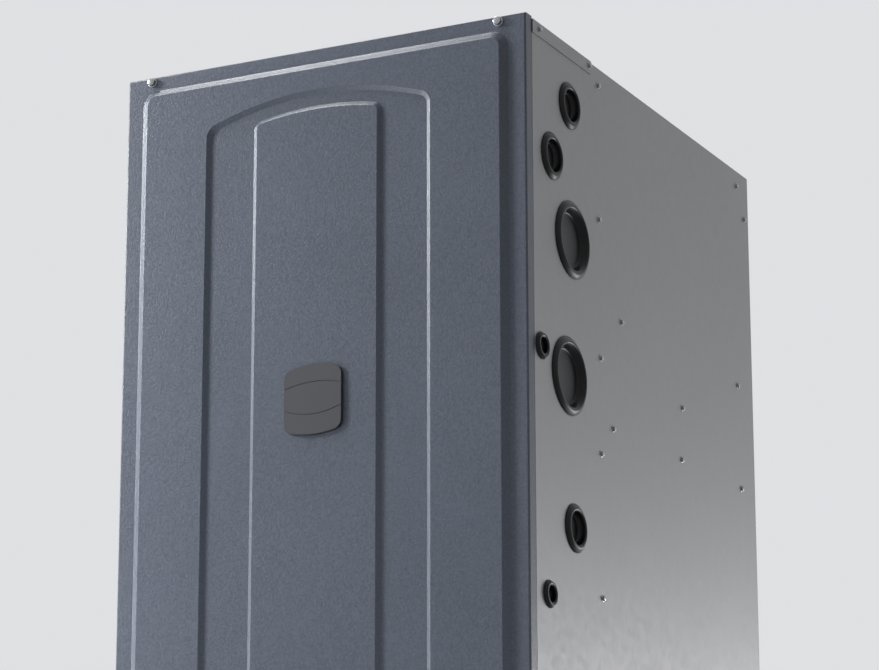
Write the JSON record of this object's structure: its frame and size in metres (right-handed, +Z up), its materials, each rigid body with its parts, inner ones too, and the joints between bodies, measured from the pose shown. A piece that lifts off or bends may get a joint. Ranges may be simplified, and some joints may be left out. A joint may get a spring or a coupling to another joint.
{
  "type": "forced air gas furnace",
  "caption": "Floor-standing sheet steel cabinet with a pressed front door; burns gas, moves house air over a heat exchanger with a blower.",
  "frame": {"origin": "middle of the bounding box's bottom face, on the floor under the cabinet", "axes": "+X to the right seen from the front, +Y from the door to the back, +Z up"},
  "size_m": [0.5426, 0.696, 0.8636],
  "materials": {
    "slate_paint": "slate blue-grey powder coat with a fine texture",
    "galvanised": "satin galvanised sheet steel",
    "foil": "foil facing on a fibre pad",
    "badge_plastic": "moulded charcoal plastic, fine texture",
    "zinc": "bright zinc plate",
    "black_plastic": "moulded black plastic",
    "plug_plastic": "semi-gloss black",
    "aluminised": "aluminised steel, dull silver",
    "aluminium": "bare aluminium fins",
    "white_plastic": "white moulded plastic",
    "rubber": "matt black rubber",
    "sight_glass": "clear heat-proof glass",
    "black_steel": "black enamelled steel",
    "cast_metal": "sand-blasted die casting",
    "red_plastic": "moulded red plastic",
    "ceramic": "unglazed white ceramic",
    "circuit": "green circuit card with black and white parts"
  },
  "bodies": {
    "cabinet": {"cabinet_wrapper": "galvanised", "base_pan": "galvanised", "vestibule_top_plate": "galvanised", "vestibule_panel": "galvanised", "blower_door": "galvanised", "blower_deck": "galvanised", "blower_housing": "galvanised", "motor_mount": "galvanised", "inducer_motor": "zinc", "rollout_switch": "zinc", "collector_box": "black_plastic", "inducer_housing": "black_plastic", "pressure_switch": "black_plastic", "door_switch": "black_plastic", "plug_left_gas_upper": "plug_plastic", "plug_left_gas_lower": "plug_plastic", "plug_left_vent_upper": "plug_plastic", "plug_left_wiring_upper": "plug_plastic", "plug_left_vent_lower": "plug_plastic", "plug_left_drain": "plug_plastic", "plug_left_wiring_lower": "plug_plastic", "plug_right_gas_upper": "plug_plastic", "plug_right_gas_lower": "plug_plastic", "plug_right_vent_upper": "plug_plastic", "plug_right_wiring_upper": "plug_plastic", "plug_right_vent_lower": "plug_plastic", "plug_right_drain": "plug_plastic", "plug_right_wiring_lower": "plug_plastic", "heat_tube_1": "aluminised", "heat_tube_2": "aluminised", "heat_tube_3": "aluminised", "heat_tube_4": "aluminised", "transition_box": "aluminised", "burner_box": "aluminised", "burner_box_cover": "aluminised", "burner_set": "aluminised", "secondary_coil": "aluminium", "vent_pipe": "white_plastic", "condensate_trap": "white_plastic", "air_inlet_collar": "rubber", "pressure_hose": "rubber", "drain_hose": "rubber", "sight_glass": "sight_glass", "gas_manifold": "black_steel", "transformer": "black_steel", "blower_motor": "black_steel", "gas_valve": "cast_metal", "igniter": "ceramic", "flame_sensor": "ceramic", "control_board": "circuit"},
    "door": {"front_door": "slate_paint", "door_insulation": "foil", "door_badge": "badge_plastic", "door_screw_left": "zinc", "door_screw_right": "zinc"},
    "blower_rotor": {"blower_wheel": "galvanised"},
    "inducer_rotor": {"inducer_wheel": "black_plastic"},
    "valve_knob": {"gas_valve_knob": "red_plastic"},
    "reset_button": {"rollout_reset_button": "red_plastic"},
    "switch_plunger": {"door_switch_plunger": "white_plastic"}
  },
  "joints": [
    {"name": "door_pull_off", "type": "slide", "parent": "cabinet", "child": "door", "axis": [0, -1, 0], "range_m": [0, 0.25]},
    {"name": "switch_plunger_travel", "type": "slide", "parent": "cabinet", "child": "switch_plunger", "axis": [0, -1, 0], "range_m": [0, 0.0045]},
    {"name": "blower_spin", "type": "hinge", "parent": "cabinet", "child": "blower_rotor", "pos_m": [0, 0.11225, 0.215], "axis": [1, 0, 0], "continuous": true},
    {"name": "inducer_spin", "type": "hinge", "parent": "cabinet", "child": "inducer_rotor", "pos_m": [0.15, -0.20935, 0.5], "axis": [0, 1, 0], "continuous": true},
    {"name": "gas_valve_turn", "type": "hinge", "parent": "cabinet", "child": "valve_knob", "pos_m": [-0.216, -0.29275, 0.6876], "axis": [0, -1, 0], "range_deg": [0, 90]},
    {"name": "rollout_reset_press", "type": "slide", "parent": "cabinet", "child": "reset_button", "axis": [0, 1, 0], "range_m": [0, 0.002], "stiffness_N_per_m": 500, "springref_m": -0.001}
  ],
  "couplings": [
    {"joint": "switch_plunger_travel", "follows": "door_pull_off", "ratio": 0.018}
  ]
}
